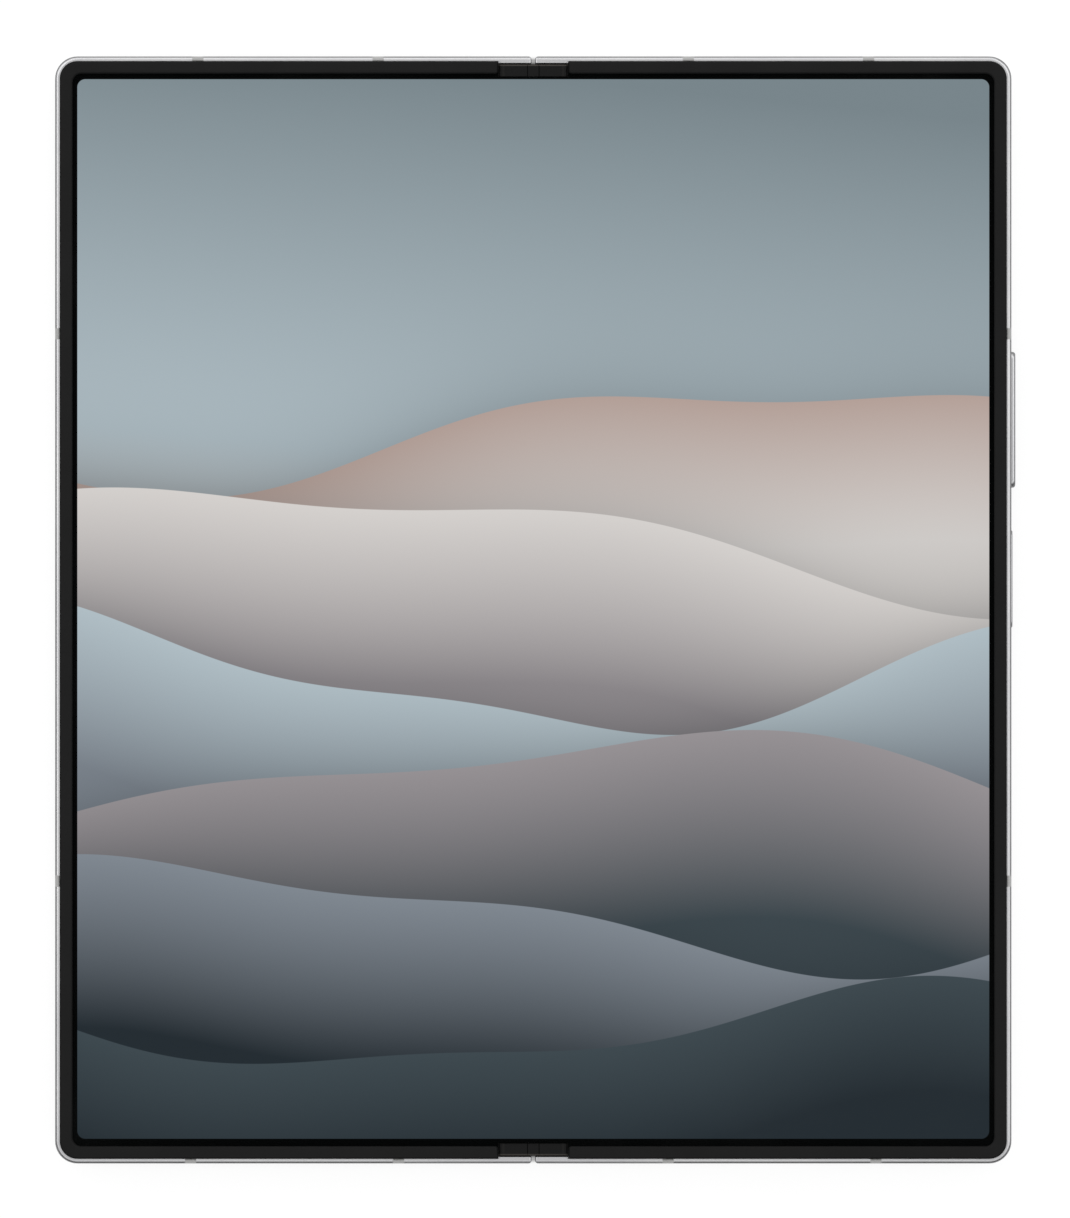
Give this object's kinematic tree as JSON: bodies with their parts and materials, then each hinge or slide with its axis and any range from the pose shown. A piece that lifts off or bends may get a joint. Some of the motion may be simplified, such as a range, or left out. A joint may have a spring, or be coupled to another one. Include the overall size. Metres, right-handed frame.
{
  "type": "foldable smartphone",
  "caption": "Book-style folding phone with a bending inner display, geared double hinge, cover display, side keys, SIM tray, USB-C socket and a rear camera island.",
  "frame": {"origin": "on the surface the phone rests on, below the middle of the fold", "axes": "+X to the half with the cameras, +Y to the top edge, +Z out of the inner display"},
  "size_m": [0.1332, 0.1536, 0.0072],
  "materials": {
    "metal": "satin anodised",
    "break_plastic": "satin",
    "rim_plastic": "fine matte",
    "rear_glass": "frosted, opaque",
    "cover_glass": "polished, opaque",
    "display": "glossy film, opaque",
    "lens_ring": "polished",
    "lens_glass": "polished, opaque",
    "camera_black": "matte",
    "flash_diffuser": "frosted",
    "board": "solder mask",
    "shield": "satin",
    "copper": "bare copper",
    "battery_foil": "foil wrap",
    "socket_steel": "polished",
    "inner_plastic": "matte",
    "flex": "polyimide film",
    "nickel": "plated",
    "screw_steel": "machined",
    "hinge_steel": "machined",
    "hinge_cap": "satin"
  },
  "bodies": {
    "spine": {"spine_cover": "metal", "upper_hinge_bracket": "hinge_steel", "lower_hinge_bracket": "hinge_steel", "gear_pins": "screw_steel", "centre_caps": "hinge_cap", "hinge_flex_cables": "flex", "display_fold": "display"},
    "upper_left_idler": {"upper_left_idler": "hinge_steel"},
    "upper_right_idler": {"upper_right_idler": "hinge_steel"},
    "lower_left_idler": {"lower_left_idler": "hinge_steel"},
    "lower_right_idler": {"lower_right_idler": "hinge_steel"},
    "left_half": {"left_frame": "metal", "left_antenna_breaks": "break_plastic", "left_rim": "rim_plastic", "cover_glass": "cover_glass", "cover_display_panel": "cover_glass", "cover_camera": "camera_black", "left_battery": "battery_foil", "sub_board": "board", "upper_speaker": "inner_plastic", "vibration_motor": "shield", "sim_slot": "shield", "left_magnets": "nickel", "left_screws": "screw_steel", "left_hinge_arms": "hinge_steel", "left_hinge_caps": "hinge_cap", "left_display_panel": "display"},
    "left_wing": {"left_wing": "shield"},
    "sim_tray": {"sim_tray": "metal"},
    "right_half": {"right_frame": "metal", "right_antenna_breaks": "break_plastic", "right_rim": "rim_plastic", "rear_glass": "rear_glass", "camera_island": "metal", "lens_rings": "lens_ring", "lens_covers": "lens_glass", "camera_modules": "camera_black", "flash_window": "flash_diffuser", "main_board": "board", "board_shields": "shield", "vapour_chamber": "copper", "right_battery": "battery_foil", "charging_coil": "copper", "usb_c_socket": "socket_steel", "usb_c_tongue": "inner_plastic", "charge_board": "board", "lower_speaker": "inner_plastic", "inner_camera": "camera_black", "key_switches": "flex", "right_magnets": "nickel", "right_screws": "screw_steel", "right_hinge_arms": "hinge_steel", "right_hinge_caps": "hinge_cap", "right_display_panel": "display"},
    "right_wing": {"right_wing": "shield"},
    "volume_key": {"volume_key": "metal"},
    "power_key": {"power_key": "metal"}
  },
  "joints": [
    {"name": "left_fold", "type": "hinge", "parent": "spine", "child": "left_half", "pos_m": [-0.0019, 0, 0.00575], "axis": [0, 1, 0], "range_deg": [0, 90], "deforming": ["display_fold", "hinge_flex_cables"]},
    {"name": "right_fold", "type": "hinge", "parent": "spine", "child": "right_half", "pos_m": [0.0019, 0, 0.00575], "axis": [0, -1, 0], "range_deg": [0, 90], "deforming": ["display_fold", "hinge_flex_cables"]},
    {"name": "upper_left_idler_turn", "type": "hinge", "parent": "spine", "child": "upper_left_idler", "pos_m": [-0.00106, 0.045, 0.00414], "axis": [0, 1, 0], "range_deg": [-65, 0]},
    {"name": "upper_right_idler_turn", "type": "hinge", "parent": "spine", "child": "upper_right_idler", "pos_m": [0.00106, 0.045, 0.00414], "axis": [0, 1, 0], "range_deg": [0, 65]},
    {"name": "lower_left_idler_turn", "type": "hinge", "parent": "spine", "child": "lower_left_idler", "pos_m": [-0.00106, -0.045, 0.00414], "axis": [0, 1, 0], "range_deg": [-65, 0]},
    {"name": "lower_right_idler_turn", "type": "hinge", "parent": "spine", "child": "lower_right_idler", "pos_m": [0.00106, -0.045, 0.00414], "axis": [0, 1, 0], "range_deg": [0, 65]},
    {"name": "left_wing_tilt", "type": "hinge", "parent": "left_half", "child": "left_wing", "pos_m": [-0.0074, 0, 0.00603], "axis": [0, 1, 0], "range_deg": [0, 12]},
    {"name": "right_wing_tilt", "type": "hinge", "parent": "right_half", "child": "right_wing", "pos_m": [0.0074, 0, 0.00603], "axis": [0, -1, 0], "range_deg": [0, 12]},
    {"name": "volume_press", "type": "slide", "parent": "right_half", "child": "volume_key", "axis": [-1, 0, 0], "range_m": [0, 0.0003], "stiffness_N_per_m": 2000, "springref_m": -0.0001},
    {"name": "power_press", "type": "slide", "parent": "right_half", "child": "power_key", "axis": [-1, 0, 0], "range_m": [0, 0.0002], "stiffness_N_per_m": 2000, "springref_m": -0.0001},
    {"name": "sim_tray_slide", "type": "slide", "parent": "left_half", "child": "sim_tray", "axis": [-1, 0, 0], "range_m": [0, 0.02]}
  ],
  "couplings": [
    {"joint": "right_fold", "follows": "left_fold", "ratio": 1},
    {"joint": "upper_left_idler_turn", "follows": "left_fold", "ratio": -0.71429},
    {"joint": "upper_right_idler_turn", "follows": "left_fold", "ratio": 0.71429},
    {"joint": "lower_left_idler_turn", "follows": "left_fold", "ratio": -0.71429},
    {"joint": "lower_right_idler_turn", "follows": "left_fold", "ratio": 0.71429},
    {"joint": "left_wing_tilt", "follows": "left_fold", "ratio": 0.13333},
    {"joint": "right_wing_tilt", "follows": "left_fold", "ratio": 0.13333}
  ]
}
